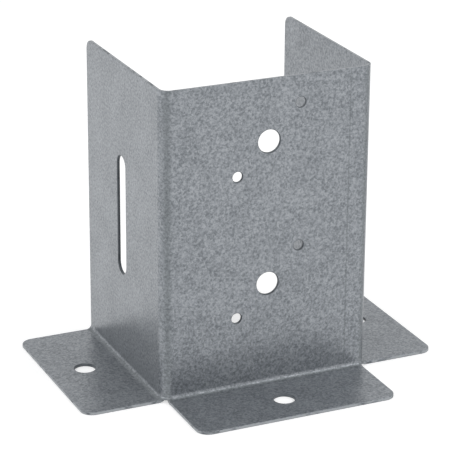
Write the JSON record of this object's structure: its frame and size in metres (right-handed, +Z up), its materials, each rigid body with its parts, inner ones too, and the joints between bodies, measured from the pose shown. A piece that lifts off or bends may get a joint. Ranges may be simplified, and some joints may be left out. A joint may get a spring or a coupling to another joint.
{
  "type": "timber post base",
  "caption": "Folded galvanised steel shoe that stands a square timber post on a slab, with punched walls on three sides and a bolt-down foot on each.",
  "frame": {"origin": "on the ground under the middle of the whole footprint", "axes": "+X to the right along the front wall, +Y back through the open side, +Z up the post"},
  "size_m": [0.18, 0.1284, 0.15],
  "materials": {
    "galvanised_steel": "hot-dip galvanised sheet: mottled satin zinc with a fine grain"
  },
  "bodies": {
    "root": {"post_base_sheet": "galvanised_steel"}
  },
  "joints": []
}
